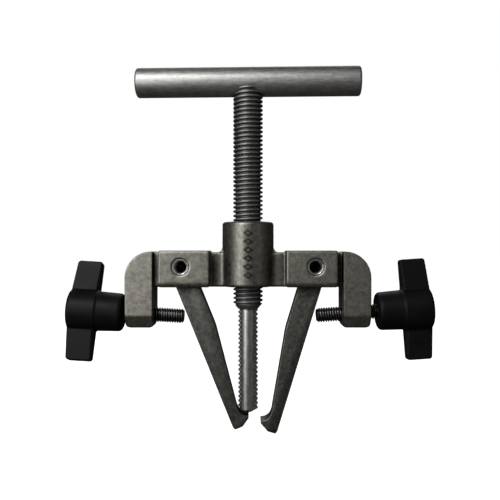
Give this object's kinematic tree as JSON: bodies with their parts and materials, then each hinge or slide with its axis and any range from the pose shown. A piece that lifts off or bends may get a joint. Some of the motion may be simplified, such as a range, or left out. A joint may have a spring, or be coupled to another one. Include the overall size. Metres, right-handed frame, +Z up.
{
  "type": "gear puller",
  "caption": "Small two-jaw puller: a T-handled forcing screw in a cast yoke, hooked jaws on hollow pivot pins, and wing screws that press the jaws inwards.",
  "frame": {"origin": "centre of the pilot's flat tip, on the forcing screw's axis", "axes": "+Z up along the forcing screw towards the T-bar, -Y the front, jaws open along X"},
  "size_m": [0.1477, 0.0208, 0.1478],
  "materials": {
    "cast_steel": "satin grey cast surface",
    "jaw_steel": "satin forged grey",
    "screw_steel": "dark phosphated thread",
    "bar_steel": "drawn grey steel",
    "pilot_steel": "bright ground steel",
    "stud_steel": "black oxide thread",
    "pin_steel": "turned steel",
    "knob_plastic": "black moulded plastic with a fine grain"
  },
  "bodies": {
    "yoke": {"yoke": "cast_steel", "left_pivot_pin": "pin_steel", "right_pivot_pin": "pin_steel"},
    "pilot": {"pilot": "pilot_steel"},
    "screw": {"forcing_screw": "screw_steel", "t_bar": "bar_steel"},
    "left_stud": {"left_clamp_stud": "stud_steel"},
    "left_knob": {"left_wing_knob": "knob_plastic"},
    "right_stud": {"right_clamp_stud": "stud_steel"},
    "right_knob": {"right_wing_knob": "knob_plastic"},
    "left_jaw": {"left_jaw": "jaw_steel"},
    "right_jaw": {"right_jaw": "jaw_steel"}
  },
  "joints": [
    {"name": "screw_travel", "type": "slide", "parent": "yoke", "child": "pilot", "axis": [0, 0, 1], "range_m": [0, 0.02275]},
    {"name": "screw_turn", "type": "hinge", "parent": "pilot", "child": "screw", "pos_m": [0, 0, 0.08], "axis": [0, 0, 1], "range_deg": [0, 4680]},
    {"name": "left_clamp_travel", "type": "slide", "parent": "yoke", "child": "left_stud", "axis": [-0.9983, 0, 0.0576], "range_m": [0, 0.01]},
    {"name": "left_clamp_turn", "type": "hinge", "parent": "left_stud", "child": "left_knob", "pos_m": [-0.04328, 0, 0.0398], "axis": [-0.9983, 0, 0.0576], "range_deg": [0, 3600]},
    {"name": "left_jaw_swing", "type": "hinge", "parent": "yoke", "child": "left_jaw", "pos_m": [-0.0266, 0, 0.0589], "axis": [0, 1, 0], "range_deg": [0, 31.5]},
    {"name": "right_clamp_travel", "type": "slide", "parent": "yoke", "child": "right_stud", "axis": [0.9978, 0, 0.0663], "range_m": [0, 0.008]},
    {"name": "right_clamp_turn", "type": "hinge", "parent": "right_stud", "child": "right_knob", "pos_m": [0.04328, 0, 0.0401], "axis": [0.9978, 0, 0.0663], "range_deg": [0, 2880]},
    {"name": "right_jaw_swing", "type": "hinge", "parent": "yoke", "child": "right_jaw", "pos_m": [0.0266, 0, 0.0589], "axis": [0, -1, 0], "range_deg": [0, 25.2]}
  ],
  "couplings": [
    {"joint": "screw_turn", "follows": "screw_travel", "rad_per_m": 3590.4},
    {"joint": "left_clamp_turn", "follows": "left_clamp_travel", "rad_per_m": 6283.2},
    {"joint": "left_jaw_swing", "follows": "left_clamp_travel", "rad_per_m": 54.6},
    {"joint": "right_clamp_turn", "follows": "right_clamp_travel", "rad_per_m": 6283.2},
    {"joint": "right_jaw_swing", "follows": "right_clamp_travel", "rad_per_m": 54.6}
  ]
}
